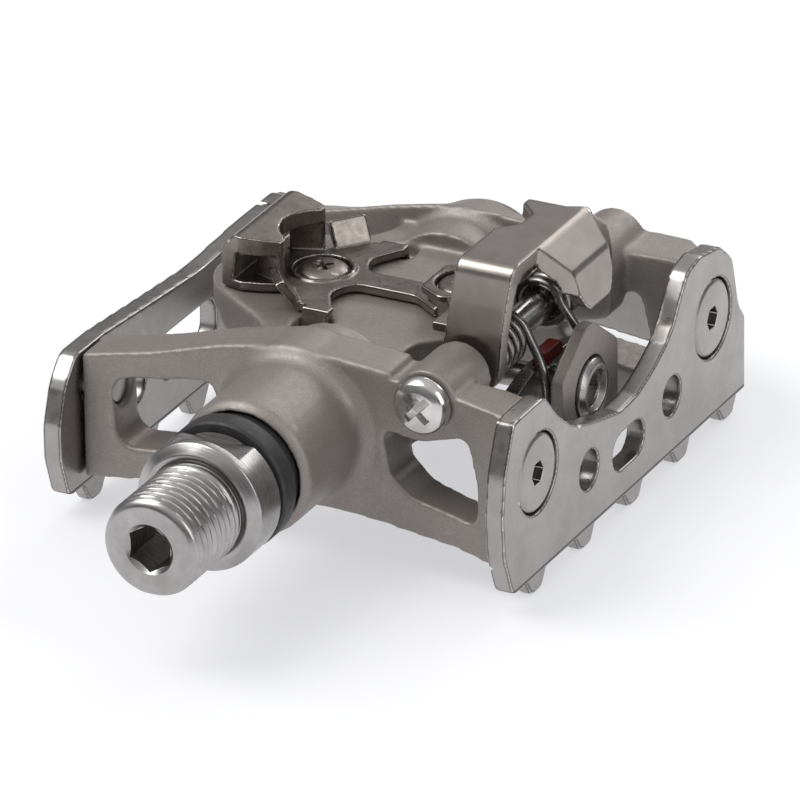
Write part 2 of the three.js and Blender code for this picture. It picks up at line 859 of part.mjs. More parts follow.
function plateScrew(x, seat) {
  const z = seat + GAP;
  const head = prism("xy", circle(x, MID_Y, 3.7, 28), z, z + 1.0);
  const shank = prism("xy", circle(x, MID_Y, 2.0, 16), 2.0, z + 0.4);
  const arms = [0, 90].map((turn) =>
    swung(
      prism("xy", outline([[x - 1.9, MID_Y - 0.4], [x + 1.9, MID_Y - 0.4], [x + 1.9, MID_Y + 0.4], [x - 1.9, MID_Y + 0.4]]), z - 0.6, z + 2),
      "z",
      turn + 45,
      [x, MID_Y, z],
    ),
  );
  return cut(join(head, shank), arms);
}
add("plate_screw_front", plateScrew(-SCREW_X, 8.3), GUNMETAL);
add("plate_screw_rear", plateScrew(SCREW_X, 10.3), GUNMETAL);

// ---------- rear claw ----------
// Seen along the axle: the arms rise from the pivot and carry the top sheet.
const armSide = outline([
  [15.4, 7.5, 3],
  [16.6, 12.0, 2],
  [17.8, CLAW_TOP],
  [26.4, CLAW_TOP],
  [25.6, 15.5, 6],
  [24.6, 6.0, 1.4],
  [22.0, 3.2, 3],
  [17.0, 3.4, 3],
]);
// Seen from behind: an arch. Its inboard leg bends over squarely into the top sheet, its outboard leg in a
// long round. t is the distance inwards from the outer face.
const inboardLeg = (t, top) => [
  [17.3 - t, 0],
  [17.3 - t, 12.8, 4],
  [16.8 - t, 17.0, 6],
  [15.9 - t, top, 2.2 + t * 1.6],
];
const outboardLeg = (t, top) => [
  [17.3 - t, 0],
  [17.3 - t, 12.0, 5],
  [14.6 - t * 0.7, 17.2 - t * 0.5, 5],
  [6.2, top, 2.5],
];
function archOutline(t, top, floor) {
  const right = outboardLeg(t, top).map(([v, z, r]) => [MID_Y + v, z, r]);
  const left = inboardLeg(t, top).map(([v, z, r]) => [MID_Y - v, z, r]).reverse();
  right[0][1] = floor;
  left[left.length - 1][1] = floor;
  return outline(right.concat(left), 16);
}
const tailSide = outline([
  [24.0, CLAW_TOP],
  [26.4, CLAW_TOP, 1.0],
  [30.4, 18.6, 1.4],
  [31.8, 12.6],
  [29.8, 12.4],
  [28.4, 17.4, 1],
  [25.4, CLAW_TOP - SHEET, 1],
  [24.0, CLAW_TOP - SHEET],
]);
const tailPlan = outline(about([
  [23.9, -8.6],
  [26.4, -8.2],
  [30.8, -5.2, 1],
  [33.0, -4.2],
  [33.0, 4.2],
  [30.8, 5.2, 1],
  [26.4, 7.4],
  [23.9, 6.4],
], MID_Y));
// The tongue of the tail ends in a half round.
const tongue = outline([
  [MID_Y - 9, 24],
  [MID_Y - 9, 17],
  [MID_Y - 5.0, 15.2, 2],
  [MID_Y - 3.4, 12.4, 2.5],
  [MID_Y + 3.4, 12.4, 2.5],
  [MID_Y + 5.0, 15.2, 2],
  [MID_Y + 9, 17],
  [MID_Y + 9, 24],
]);
// Lip that hooks over the cleat: the front edge of the top sheet, scooped out in the middle.
const scoop = outline(about([
  [14, -4.6],
  [17.9, -4.4],
  [20.4, -1.8, 1],
  [20.4, 1.8, 1],
  [17.9, 4.4],
  [14, 4.6],
], MID_Y));
const arch = cut(
  prism("yz", archOutline(0, CLAW_TOP, 0), 12, 30),
  prism("yz", archOutline(SHEET, CLAW_TOP - SHEET, -2), 10, 34),
  prism("xy", scoop, 15, 30),
);
const tail = common(
  prism("xz", tailSide, 40, 76),
  prism("xy", tailPlan, 0, 30),
  prism("yz", tongue, 10, 40),
);
add(
  "rear_claw",
  cut(
    join(common(arch, prism("xz", armSide, 40, 77)), tail),
    rod(PIVOT.x, PIVOT.z, PIN_R + GAP, 30, 90, 18),
  ),
  NICKEL,
);

// ---------- pivot pin and springs ----------
const pinDome = turned([
  [0, 28.6],
  [4.15, 28.6],
  [4.15, 27.6],
  [3.6, 26.7],
  [2.2, 26.2],
  [0, 26.1],
], 28).translate([PIVOT.x, 0, PIVOT.z]);
const crossArms = [45, 135].map((turn) =>
  swung(
    prism("xz", outline([[-2.5, -0.5], [2.5, -0.5], [2.5, 0.5], [-2.5, 0.5]]), 25, 27.7).translate([PIVOT.x, 0, PIVOT.z]),
    "y",
    turn,
    [PIVOT.x, 0, PIVOT.z],
  ),
);
add("pivot_pin", cut(join(pinDome, rod(PIVOT.x, PIVOT.z, PIN_R, 28.5, 86.2, 20)), crossArms), CHROME);

// Torsion spring: coils round the pin. One leg reaches up under the claw's top sheet, the other hangs
// behind the tension carrier.
function spring(from, side) {
  const turns = 5;
  const pitch = 1.75;
  const coil = 3.35;
  const start = 0.25;
  const perTurn = 10;
  const end = from + side * turns * pitch;
  const at = (x, y, z) => new THREE.Vector3(x, y, z);
  const path = [at(21.8, from + side * 4.6, 16.2), at(22.3, from + side * 2.2, 13.8), at(22.9, from, 10.9)];
  for (let k = 0; k <= turns * perTurn; k++) {
    const t = start - (2 * Math.PI * k) / perTurn;
    const y = from + (side * pitch * k) / perTurn;
    path.push(at(PIVOT.x + coil * Math.cos(t), y, PIVOT.z + coil * Math.sin(t)));
  }
  path.push(at(24.5, end, 5.0), at(25.5, end, 1.2), at(25.7, end, -2.0));
  return bar(path, 0.65, 5, 70);
}
add("spring_inboard", spring(44.6, 1), GUNMETAL);
add("spring_outboard", spring(2 * MID_Y - 44.6, -1), GUNMETAL);

// ---------- spring tension adjuster ----------
const bracketBack = outline([
  [MID_Y - 8.6, -7, 1.5],
  [MID_Y - 8.6, 3.2, 1.5],
  [MID_Y - 1.4, 8.5, 1.4],
  [MID_Y + 1.4, 8.5, 1.4],
  [MID_Y + 8.6, 3.2, 1.5],
  [MID_Y + 8.6, -7, 1.5],
]);
const bracketSide = outline([
  [15.6, -4.9],
  [28.8, -4.9],
  [28.8, -7.0],
  [18, -7.0, 1],
  [15.6, -6.2],
]);
add(
  "tension_bracket",
  cut(
    join(
      prism("yz", bracketBack, 28.2, 30.2),
      prism("yz", circle(MID_Y, TENSION_Z, 5.8, 28), 26.8, 28.6),
      prism("xz", bracketSide, MID_Y - 7.8, MID_Y - 6.2),
      prism("xz", bracketSide, MID_Y + 6.2, MID_Y + 7.8),
    ),
    prism("yz", circle(MID_Y, TENSION_Z, 2.3, 16), 20, 40),
    prism("yz", circle(MID_Y, TENSION_Z, 4.8, 28), 28.2, 40),
  ),
  CASTING,
);
add(
  "tension_bolt",
  cut(
    join(
      prism("yz", circle(MID_Y, TENSION_Z, 4.45, 28), 28.5, 31.2),
      prism("yz", circle(MID_Y, TENSION_Z, 1.9, 16), 10, 28.6),
    ),
    prism("yz", hexagon(MID_Y, TENSION_Z, 4), 29.3, 40),
  ),
  CHROME,
);
add(
  "tension_carrier",
  cut(
    prism("yz", outline([
      [46.2, -2.2, 0.6],
      [46.2, 0.8, 0.6],
      [MID_Y - 5, 2.6, 1],
      [MID_Y + 5, 2.6, 1],
      [71.0, 0.6, 0.6],
      [71.0, -2.4, 0.6],
      [MID_Y + 5, -4.4, 1],
      [MID_Y - 5, -4.4, 1],
    ]), 22.0, 24.2),
    prism("yz", circle(MID_Y, TENSION_Z, 2.2, 16), 18, 40),
  ),
  STEEL,
);
add(
  "tension_indicator",
  prism("yz", outline([
    [MID_Y - 4.2, 2.9],
    [MID_Y + 1.8, 2.9],
    [MID_Y + 1.2, 5.0, 0.5],
    [MID_Y - 3.6, 5.0, 0.5],
  ]), 23.3, 25.2),
  RED,
);

export default root;
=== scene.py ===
import math

import bmesh
import bpy
from mathutils import Matrix, Quaternion, Vector


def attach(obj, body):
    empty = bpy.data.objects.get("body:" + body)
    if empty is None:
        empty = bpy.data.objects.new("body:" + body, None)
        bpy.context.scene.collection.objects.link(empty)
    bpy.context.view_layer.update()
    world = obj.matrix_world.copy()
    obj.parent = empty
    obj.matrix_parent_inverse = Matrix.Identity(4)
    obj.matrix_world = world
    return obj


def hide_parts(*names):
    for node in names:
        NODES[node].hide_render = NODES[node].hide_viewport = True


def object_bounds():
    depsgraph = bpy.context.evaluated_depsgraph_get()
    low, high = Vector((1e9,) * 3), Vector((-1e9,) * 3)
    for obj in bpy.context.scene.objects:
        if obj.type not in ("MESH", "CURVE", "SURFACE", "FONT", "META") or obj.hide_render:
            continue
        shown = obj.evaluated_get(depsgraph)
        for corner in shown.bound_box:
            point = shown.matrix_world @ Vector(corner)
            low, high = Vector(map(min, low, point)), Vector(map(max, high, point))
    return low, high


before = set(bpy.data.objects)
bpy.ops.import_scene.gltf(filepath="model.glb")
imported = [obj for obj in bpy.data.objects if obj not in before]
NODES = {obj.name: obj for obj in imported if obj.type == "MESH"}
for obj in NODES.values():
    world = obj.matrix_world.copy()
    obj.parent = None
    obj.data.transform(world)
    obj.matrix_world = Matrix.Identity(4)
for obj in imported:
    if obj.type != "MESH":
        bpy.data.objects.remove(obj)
CAD_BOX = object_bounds()
MM = 0.001
TAU = 2 * math.pi

# ---------------------------------------------------------------- camera
CAM_AZIMUTH = 27.49
CAM_ELEVATION = 25.20
CAM_ROLL = -0.77
CAM_DISTANCE = 1.43
CAM_PIVOT = Vector((0.0, 0.050, 0.0))
CAM_AIM = Vector((0.0063, 0.0478, -0.0029))
CAM_LENS = 468.0


def make_camera():
    a, e = math.radians(CAM_AZIMUTH), math.radians(CAM_ELEVATION)
    back = Vector((math.sin(a) * math.cos(e), -math.cos(a) * math.cos(e), math.sin(e)))
    data = bpy.data.cameras.new("camera")
    data.sensor_width = 36
    data.lens = CAM_LENS
    data.clip_start = 0.05
    data.clip_end = 20
    cam = bpy.data.objects.new("camera", data)
    bpy.context.scene.collection.objects.link(cam)
    cam.location = CAM_PIVOT + back * CAM_DISTANCE
    cam.rotation_mode = "QUATERNION"
    aimed = (CAM_AIM - cam.location).to_track_quat("-Z", "Y")
    cam.rotation_quaternion = aimed @ Quaternion((0, 0, 1), math.radians(CAM_ROLL))
    bpy.context.scene.camera = cam


make_camera()


# ---------------------------------------------------------------- finishes
# Height of the crease above the cage's teeth, where the chrome gets a dark line of painted shade.
TOOTH_CREASE_Z = -15.25


class Finish:
    """A metal or plastic surface built from object-space noise."""

    def __init__(self, name, metallic, ior=1.5):
        self.mat = bpy.data.materials.new(name)
        self.mat.use_nodes = True
        self.nodes = self.mat.node_tree.nodes
        self.links = self.mat.node_tree.links
        self.shader = self.nodes["Principled BSDF"]
        self.shader.inputs["Metallic"].default_value = metallic
        self.shader.inputs["IOR"].default_value = ior
        self.coord = self.nodes.new("ShaderNodeTexCoord").outputs["Object"]
        self.normal = None

    def stretched(self, scale):
        mapping = self.nodes.new("ShaderNodeMapping")
        mapping.inputs["Scale"].default_value = scale
        self.links.new(self.coord, mapping.inputs["Vector"])
        return mapping.outputs["Vector"]

    def noise(self, size, detail=3.0, roughness=0.55, stretch=None):
        """Noise whose features are about size millimetres across."""
        node = self.nodes.new("ShaderNodeTexNoise")
        node.inputs["Scale"].default_value = 1 / (size * MM)
        node.inputs["Detail"].default_value = detail
        node.inputs["Roughness"].default_value = roughness
        self.links.new(self.stretched(stretch) if stretch else self.coord, node.inputs["Vector"])
        return node.outputs["Fac"]

    def remap(self, value, low, high, to_low, to_high):
        node = self.nodes.new("ShaderNodeMapRange")
        node.inputs["From Min"].default_value = low
        node.inputs["From Max"].default_value = high
        node.inputs["To Min"].default_value = to_low
        node.inputs["To Max"].default_value = to_high
        self.links.new(value, node.inputs["Value"])
        return node.outputs["Result"]

    def blend(self, factor, first, second):
        """A colour between two, each a colour or another node's output. factor is a number or an output."""
        node = self.nodes.new("ShaderNodeMix")
        node.data_type = "RGBA"
        sockets = [s for s in node.inputs if s.type == "RGBA"]
        for socket, value in zip(sockets, (first, second), strict=True):
            if isinstance(value, bpy.types.NodeSocket):
                self.links.new(value, socket)
            else:
                socket.default_value = (*value, 1)
        if isinstance(factor, bpy.types.NodeSocket):
            self.links.new(factor, node.inputs[0])
        else:
            node.inputs[0].default_value = factor
        return next(s for s in node.outputs if s.type == "RGBA")

    def colour(self, value):
        self.links.new(value, self.shader.inputs["Base Color"])

    def rough(self, value):
        self.links.new(value, self.shader.inputs["Roughness"])

    def bump(self, height, depth, strength=1.0):
        """Adds relief of about depth millimetres."""
        node = self.nodes.new("ShaderNodeBump")
        node.inputs["Distance"].default_value = depth * MM
        node.inputs["Strength"].default_value = strength
        self.links.new(height, node.inputs["Height"])
        if self.normal is not None:
            self.links.new(self.normal, node.inputs["Normal"])
        self.normal = node.outputs["Normal"]
        self.links.new(self.normal, self.shader.inputs["Normal"])

    def pointiness(self):
        """0.5 on flat ground, more on outside edges and less in inside corners."""
        return self.nodes.new("ShaderNodeNewGeometry").outputs["Pointiness"]

    def edges(self, low, high):
        """1 on outside edges, where a painted highlight goes, and 0 elsewhere."""
        return self.remap(self.pointiness(), low, high, 0, 1)

    def corner_shade(self, low, high):
        """1 in inside corners, where painted shade goes, and 0 elsewhere."""
        return self.remap(self.pointiness(), low, high, 1, 0)

    def painted_edge_reflection(self, base, dark, bright, start=0.516, middle=0.526, end=0.565):
        """The base colour, with a painted reflection along each outside edge: a thin dark line beside it and
        a bright edge.
        """
        point = self.pointiness()
        lined = self.blend(self.remap(point, start, middle, 0, 1), base, dark)
        return self.blend(self.remap(point, middle, end, 0, 1), lined, bright)

    def level_line(self, height, width):
        """1 on a level line round the object, height and width in millimetres, and 0 elsewhere."""
        split = self.nodes.new("ShaderNodeSeparateXYZ")
        self.links.new(self.coord, split.inputs["Vector"])
        away = self.nodes.new("ShaderNodeMath")
        away.operation = "SUBTRACT"
        away.inputs[1].default_value = height * MM
        self.links.new(split.outputs["Z"], away.inputs[0])
        distance = self.nodes.new("ShaderNodeMath")
        distance.operation = "ABSOLUTE"
        self.links.new(away.outputs[0], distance.inputs[0])
        return self.remap(distance.outputs[0], width * 0.5 * MM, width * MM, 1, 0)


def cast_finish():
    """Sand-blasted and lacquered casting, with a painted highlight on its edges and painted shade in its
    corners.
    """
    f = Finish("casting", 0.55)
    cloud = f.remap(f.noise(9, 4), 0.35, 0.65, 0, 1)
    tone = f.blend(cloud, (0.262, 0.236, 0.217), (0.30, 0.272, 0.252))
    grain = f.remap(f.noise(0.22, 2), 0.42, 0.6, 0, 1)
    speck = f.blend(grain, (0.225, 0.203, 0.187), (0.335, 0.305, 0.283))
    # Painted highlight: the casting's outside edges are drawn paler.
    lit = f.blend(f.edges(0.53, 0.66), f.blend(0.42, tone, speck), (0.42, 0.39, 0.365))
    # Painted shade: the casting's inside corners are drawn dark.
    f.colour(f.blend(f.corner_shade(0.40, 0.475), lit, (0.13, 0.115, 0.105)))
    f.rough(f.remap(f.noise(1.1, 4), 0.3, 0.7, 0.42, 0.56))
    f.bump(f.noise(0.28, 2, 0.6), 0.035, 0.55)
    f.bump(f.noise(2.6, 3), 0.03, 0.35)
    return f.mat


def chrome_finish(name="chrome", painted_light=True):
    """Satin plating. When asked for, its edges carry a painted reflection, and a dark line of painted shade
    is drawn along the crease above the cage's teeth.
    """
    f = Finish(name, 1.0)
    cloud = f.remap(f.noise(7, 4), 0.35, 0.65, 0, 1)
    tone = f.blend(cloud, (0.335, 0.317, 0.304), (0.385, 0.368, 0.355))
    if painted_light:
        # Painted reflection on the cage's edges: a thin dark line and a bright rim.
        reflected = f.painted_edge_reflection(tone, (0.13, 0.122, 0.116), (0.80, 0.785, 0.77))
        # Painted shade: a dark line along the crease above the teeth.
        tone = f.blend(f.level_line(TOOTH_CREASE_Z, 0.22), reflected, (0.075, 0.07, 0.066))
    f.colour(tone)
    f.rough(f.remap(f.noise(1.6, 5, 0.6), 0.3, 0.7, 0.25, 0.37))
    f.bump(f.noise(4.5, 3, 0.5), 0.02, 0.4)
    f.bump(f.noise(0.25, 2), 0.003, 0.4)
    return f.mat


def bright_finish():
    """Polished plating on small fasteners."""
    f = Finish("bright_plating", 1.0)
    f.colour(f.blend(f.remap(f.noise(2, 3), 0.3, 0.7, 0, 1), (0.56, 0.54, 0.52), (0.68, 0.665, 0.65)))
    f.rough(f.remap(f.noise(0.7, 4), 0.3, 0.7, 0.14, 0.24))
    f.bump(f.noise(2.6, 3), 0.012, 0.4)
    return f.mat


def steel_finish():
    """Turned steel: fine rings round the axle's own line."""
    f = Finish("turned_steel", 1.0)
    rings = f.noise(0.9, 3, 0.6, stretch=(0.05, 6.0, 0.05))
    f.colour(f.blend(f.remap(f.noise(3, 3), 0.3, 0.7, 0, 1), (0.33, 0.318, 0.31), (0.43, 0.42, 0.412)))
    f.rough(f.remap(rings, 0.3, 0.7, 0.20, 0.38))
    f.bump(rings, 0.012, 0.6)
    f.bump(f.noise(0.5, 2), 0.006, 0.4)
    return f.mat


def nickel_finish():
    """Satin nickel on the releasing claw, brushed up and down."""
    f = Finish("satin_nickel", 1.0)
    brushed = f.noise(0.35, 3, 0.6, stretch=(1.0, 1.0, 0.06))
    tone = f.blend(f.remap(f.noise(5, 3), 0.3, 0.7, 0, 1), (0.30, 0.268, 0.248), (0.375, 0.343, 0.32))
    # Painted reflection on the claw's edges: a thin dark line and a bright rim.
    f.colour(f.painted_edge_reflection(tone, (0.11, 0.098, 0.09), (0.74, 0.71, 0.68), 0.516, 0.525, 0.56))
    f.rough(f.remap(brushed, 0.3, 0.7, 0.28, 0.35))
    f.bump(brushed, 0.002, 0.3)
    f.bump(f.noise(4.5, 2), 0.03, 0.4)
    return f.mat


def gunmetal_finish():
    f = Finish("gunmetal", 1.0)
    tone = f.blend(f.remap(f.noise(3.2, 4), 0.3, 0.7, 0, 1), (0.20, 0.175, 0.160), (0.29, 0.258, 0.238))
    # Painted reflection on the edges: a thin dark line and a bright rim.
    f.colour(f.painted_edge_reflection(tone, (0.06, 0.052, 0.048), (0.62, 0.58, 0.55), 0.516, 0.525, 0.56))
    f.rough(f.remap(f.noise(0.8, 4), 0.3, 0.7, 0.25, 0.40))
    f.bump(f.noise(2.6, 3), 0.02, 0.4)
    f.bump(f.noise(0.2, 2), 0.002, 0.4)
    return f.mat


def spring_finish():
    f = Finish("spring_wire", 1.0)
    f.colour(f.blend(f.remap(f.noise(1.5, 3), 0.3, 0.7, 0, 1), (0.17, 0.16, 0.15), (0.32, 0.30, 0.285)))
    f.rough(f.remap(f.noise(0.5, 3), 0.3, 0.7, 0.2, 0.4))
    f.bump(f.noise(0.3, 2), 0.01, 0.5)
    return f.mat


def resin_finish():
    f = Finish("black_resin", 0.0, 1.48)
    f.colour(f.blend(f.remap(f.noise(1.2, 4), 0.3, 0.7, 0, 1), (0.016, 0.016, 0.018), (0.034, 0.033, 0.035)))
    f.rough(f.remap(f.noise(0.8, 4), 0.3, 0.7, 0.42, 0.6))
    f.bump(f.noise(0.25, 2), 0.01, 0.5)
    return f.mat


def red_finish():
    f = Finish("red_resin", 0.0, 1.48)
    f.colour(f.blend(f.remap(f.noise(1.5, 3), 0.3, 0.7, 0, 1), (0.085, 0.004, 0.003), (0.12, 0.007, 0.005)))
    f.rough(f.remap(f.noise(0.7, 3), 0.3, 0.7, 0.3, 0.45))
    f.bump(f.noise(0.4, 2), 0.01, 0.4)
    return f.mat


def floor_finish():
    """Pale paper, faintly lit from within so that shadows on it stay soft and light."""
    f = Finish("floor", 0.0)
    f.shader.inputs["Emission Color"].default_value = (0.96, 0.97, 1.0, 1)
    f.shader.inputs["Emission Strength"].default_value = 0.56
    f.colour(f.blend(f.remap(f.noise(180, 3), 0.3, 0.7, 0, 1), (0.40, 0.40, 0.405), (0.43, 0.43, 0.435)))
    f.rough(f.remap(f.noise(60, 3), 0.3, 0.7, 0.55, 0.7))
    return f.mat


CASTING = cast_finish()
CHROME = chrome_finish()
BOLT_PLATING = chrome_finish("bolt_plating", painted_light=False)
BRIGHT = bright_finish()
STEEL = steel_finish()
NICKEL = nickel_finish()
GUNMETAL = gunmetal_finish()
SPRING = spring_finish()
RESIN = resin_finish()
RED = red_finish()


# ---------------------------------------------------------------- mesh tools
def put(name, mesh_data, material, sharp=38):
    verts, faces = mesh_data
    mesh = bpy.data.meshes.new(name)
    mesh.from_pydata([[c * MM for c in v] for v in verts], [], faces)
    obj = bpy.data.objects.new(name, mesh)
    bpy.context.scene.collection.objects.link(obj)
    tidy_normals(obj, sharp)
    mesh.materials.append(material)
    return obj


def tidy_normals(obj, sharp=38):
    bm = bmesh.new()
    bm.from_mesh(obj.data)
    bmesh.ops.remove_doubles(bm, verts=bm.verts, dist=1e-7)
    bmesh.ops.recalc_face_normals(bm, faces=bm.faces)
    bm.to_mesh(obj.data)
    bm.free()
    for p in obj.data.polygons:
        p.use_smooth = True
    obj.data.set_sharp_from_angle(angle=math.radians(sharp))


def lathe_data(profile, centre, axis, around=96):
    """A profile of (radius, distance along axis) turned about a line.

    It is closed by fans at radius 0, or runs back to its start.
    """
    turn = Vector(axis).to_track_quat("Z", "X").to_matrix()
    ring = profile[0] == profile[-1]
    rows = profile[:-1] if ring else profile
    verts, starts = [], []
    for r, t in rows:
        starts.append(len(verts))
        count = 1 if r == 0 else around
        for i in range(count):
            a = TAU * i / around
            verts.append(turn @ Vector((r * math.cos(a), r * math.sin(a), t)) + Vector(centre))
    faces = []
    pairs = list(zip(range(len(rows)), range(1, len(rows))))
    if ring:
        pairs.append((len(rows) - 1, 0))
    for a, b in pairs:
        for i in range(around):
            j = (i + 1) % around
            low = [starts[a]] if rows[a][0] == 0 else [starts[a] + i, starts[a] + j]
            high = [starts[b]] if rows[b][0] == 0 else [starts[b] + j, starts[b] + i]
            if len(low) + len(high) > 2:
                faces.append(low + high)
    return verts, faces


def rounded(profile, radius, steps=4):
    """The profile with each corner between its ends turned into a small curve."""
    out = [profile[0]]
    for before, here, after in zip(profile, profile[1:], profile[2:]):
        p, q, s = (Vector(v) for v in (before, here, after))
        a, b = (p - q), (s - q)
        reach = min(radius, a.length * 0.45, b.length * 0.45)
        start, end = q + a.normalized() * reach, q + b.normalized() * reach
        for k in range(steps + 1):
            t = k / steps
            point = start.lerp(q, t).lerp(q.lerp(end, t), t)
            out.append((point.x, point.y))
    out.append(profile[-1])
    return out


def prism_data(points, centre, axis, low, high, turn=0.0):
    """A flat outline pushed along axis from low to high."""
    spin = Matrix.Rotation(turn, 3, "Z")
    place = Vector(axis).to_track_quat("Z", "X").to_matrix() @ spin
    verts = [place @ Vector((x, y, t)) + Vector(centre) for t in (low, high) for x, y in points]
    n = len(points)
    faces = [list(range(n))[::-1], list(range(n, 2 * n))]
    faces += [[i, (i + 1) % n, n + (i + 1) % n, n + i] for i in range(n)]
    return verts, faces


def hexagon(flats):
    r = flats / math.sqrt(3)
    return [(r * math.cos(TAU * i / 6), r * math.sin(TAU * i / 6)) for i in range(6)]


def carve(obj, *tools):
    """Cuts tools out of obj and removes them."""
    for tool in tools:
        mod = obj.modifiers.new("cut", "BOOLEAN")
        mod.operation = "DIFFERENCE"
        mod.solver = "EXACT"
        mod.object = tool
    bpy.context.view_layer.update()
    graph = bpy.context.evaluated_depsgraph_get()
    made = bpy.data.meshes.new_from_object(obj.evaluated_get(graph))
    obj.modifiers.clear()
    old = obj.data
    obj.data = made
    bpy.data.meshes.remove(old)
    for tool in tools:
        bpy.data.objects.remove(tool)
    tidy_normals(obj)


def round_edges(obj, width):
    """Breaks each edge sharper than 50 degrees by width millimetres."""
    mod = obj.modifiers.new("round_edges", "BEVEL")
    mod.width = width * MM
    mod.segments = 1
    mod.limit_method = "ANGLE"
    mod.angle_limit = math.radians(50)
    mod.use_clamp_overlap = True


def cross_tools(length, width, centre, axis, low, high, turn):
    """Two bars that cut a cross recess. Their faces at low are smaller than those at high."""
    shrink = 0.72
    half, wide = length / 2, width / 2
    points = [(-half, -wide), (half, -wide), (half, wide), (-half, wide)]
    middle = Vector(centre)
    along = Vector(axis).to_track_quat("Z", "X").to_matrix() @ Vector((0, 0, 1))
    tools = []
    for k in range(2):
        verts, faces = prism_data(points, centre, axis, low, high, turn + k * TAU / 4)
        for i, v in enumerate(verts[:len(points)]):
            small = middle + (v - middle) * shrink
            verts[i] = small + along * (v - small).dot(along)
        tools.append(put("cross_tool", (verts, faces), BRIGHT))
    return tools


def stand_for(obj, node, body):
    """Lets a piece ride on a body in place of a CAD node."""
    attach(obj, body)
    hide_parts(node)


def skin(node, material, voxel, passes):
    """Gives a CAD node softened edges and its finish. Its own mesh stays as it is."""
    obj = NODES[node]
    weld = obj.modifiers.new("weld", "WELD")
    weld.merge_threshold = 1e-6
    remesh = obj.modifiers.new("fine_skin", "REMESH")
    remesh.mode = "VOXEL"
    remesh.voxel_size = voxel * MM
    remesh.use_smooth_shade = True
    smooth = obj.modifiers.new("soft_edges", "SMOOTH")
    smooth.factor = 0.5
    smooth.iterations = passes
    paint(node, material)


def paint(node, material):
    obj = NODES[node]
    if not obj.material_slots:
        obj.data.materials.append(material)
    for slot in obj.material_slots:
        slot.material = material


# ---------------------------------------------------------------- axle
THREAD_R = 7.145
THREAD_PITCH = 1.27
THREAD_DEPTH = 0.72
THREAD_START = -1.2
AXLE_END = -13.3
NOSE_R = 1.4
FLAT = 7.5
FLAT_START, FLAT_END = 2.2, 7.2
FLAT_STEP = 0.01
AXLE_AROUND = 240
ALONG_Y = (0, 1, 0)


def axle_radius(y, angle, plain):
    """Radius of the axle's surface. plain is the turned profile's radius there."""
    r = plain
    if y < THREAD_START:
        phase = (y / THREAD_PITCH - angle / TAU) % 1
        groove = max(0.0, 1 - abs(phase - 0.5) * 2 / 0.82) * THREAD_DEPTH
        groove *= min(1.0, (THREAD_START - y) / THREAD_PITCH)
        d = min(NOSE_R, y - AXLE_END)
        nose = THREAD_R - NOSE_R + math.sqrt(max(0.0, NOSE_R * NOSE_R - (NOSE_R - d) ** 2))
        r = min(THREAD_R - groove, nose)
    if FLAT_START < y < FLAT_END:
        c = abs(math.cos(angle))
        if r * c > FLAT:
            r = FLAT / c
    return r


def thread_rows():
    """Places along the axle with a row of points each: close together on the nose, then even."""
    lead_rows, even_rows = 10, 114
    first = AXLE_END + NOSE_R
    lead = [AXLE_END + NOSE_R * (1 - math.cos(TAU / 4 * k / lead_rows)) for k in range(lead_rows)]
    even = [first + (THREAD_START - first) * k / even_rows - 1e-5 for k in range(even_rows + 1)]
    return [(y, 0) for y in lead + even]


def turned_rows():
    """Rows of (place, radius) behind the thread, with a pair of rows at each end of the spanner flats."""
    turned = rounded([
        (6.6, THREAD_START), (6.6, 0.2), (7.2, 0.2), (7.2, 0.0), (7.9, 0.0), (9.4, 1.1),
        (9.4, 6.7), (8.3, 6.7), (8.3, 7.3), (7.0, 7.3), (7.0, 17.2), (6.6, 18.3), (4.9, 19.3),
        (4.8, 21.0), (4.8, 76.6), (3.5, 76.6), (3.5, 85.6), (2.9, 86.2),
    ], 0.22, 3)
    rows = []
    for (r0, y0), (r1, y1) in zip(turned, turned[1:]):
        rows.append((y0, r0))
        for end in (FLAT_START, FLAT_END):
            for cut_y in (end - FLAT_STEP, end + FLAT_STEP):
                if y0 < cut_y < y1:
                    rows.append((cut_y, r0 + (r1 - r0) * (cut_y - y0) / (y1 - y0)))
    last_r, last_y = turned[-1]
    rows.append((last_y, last_r))
    return rows


def axle_data():
    """The axle's points and faces: a fan at each end and rows of four-sided faces between."""
    rows = thread_rows() + turned_rows()
    verts = [(0, AXLE_END, 0)]
    for y, plain in rows:
        for i in range(AXLE_AROUND):
            a = TAU * i / AXLE_AROUND
            r = axle_radius(y, a, plain)
            verts.append((r * math.sin(a), y, r * math.cos(a)))
    verts.append((0, rows[-1][0], 0))
    faces = []
    last = 1 + (len(rows) - 1) * AXLE_AROUND
    for i in range(AXLE_AROUND):
        j = (i + 1) % AXLE_AROUND
        faces.append((0, 1 + j, 1 + i))
        faces.append((len(verts) - 1, last + i, last + j))
        for k in range(len(rows) - 1):
            a, b = 1 + k * AXLE_AROUND, 1 + (k + 1) * AXLE_AROUND
            faces.append((a + i, a + j, b + j, b + i))
    return verts, faces


def make_axle():
    axle = put("axle_turned", axle_data(), STEEL, 30)
    end = (0, AXLE_END, 0)
    mouth = lathe_data([(0, -0.5), (4.2, -0.5), (3.1, 0.55), (0, 0.55)], end, ALONG_Y)
    socket = prism_data(hexagon(6), end, ALONG_Y, -1, 8)
    carve(axle, put("mouth", mouth, STEEL), put("socket", socket, STEEL))
    stand_for(axle, "axle", "axle")


# ---------------------------------------------------------------- turned pieces
MID_Y = 58.6
PIVOT = (19.8, 0.0, 7.5)
PIN_FACE_Y = 26.1
BOLT_Z = -0.7
BOLT_YS = {"inboard": 31.2, "outboard": 86.0}
BOLT_SIDES = {"front": (-1, 3.4), "rear": (1, 5.6)}
SCREWS = {"plate_screw_front": (-11, 8.6), "plate_screw_rear": (11, 10.6)}
TENSION_Z = -0.9
EIGHTH_TURN = TAU / 8


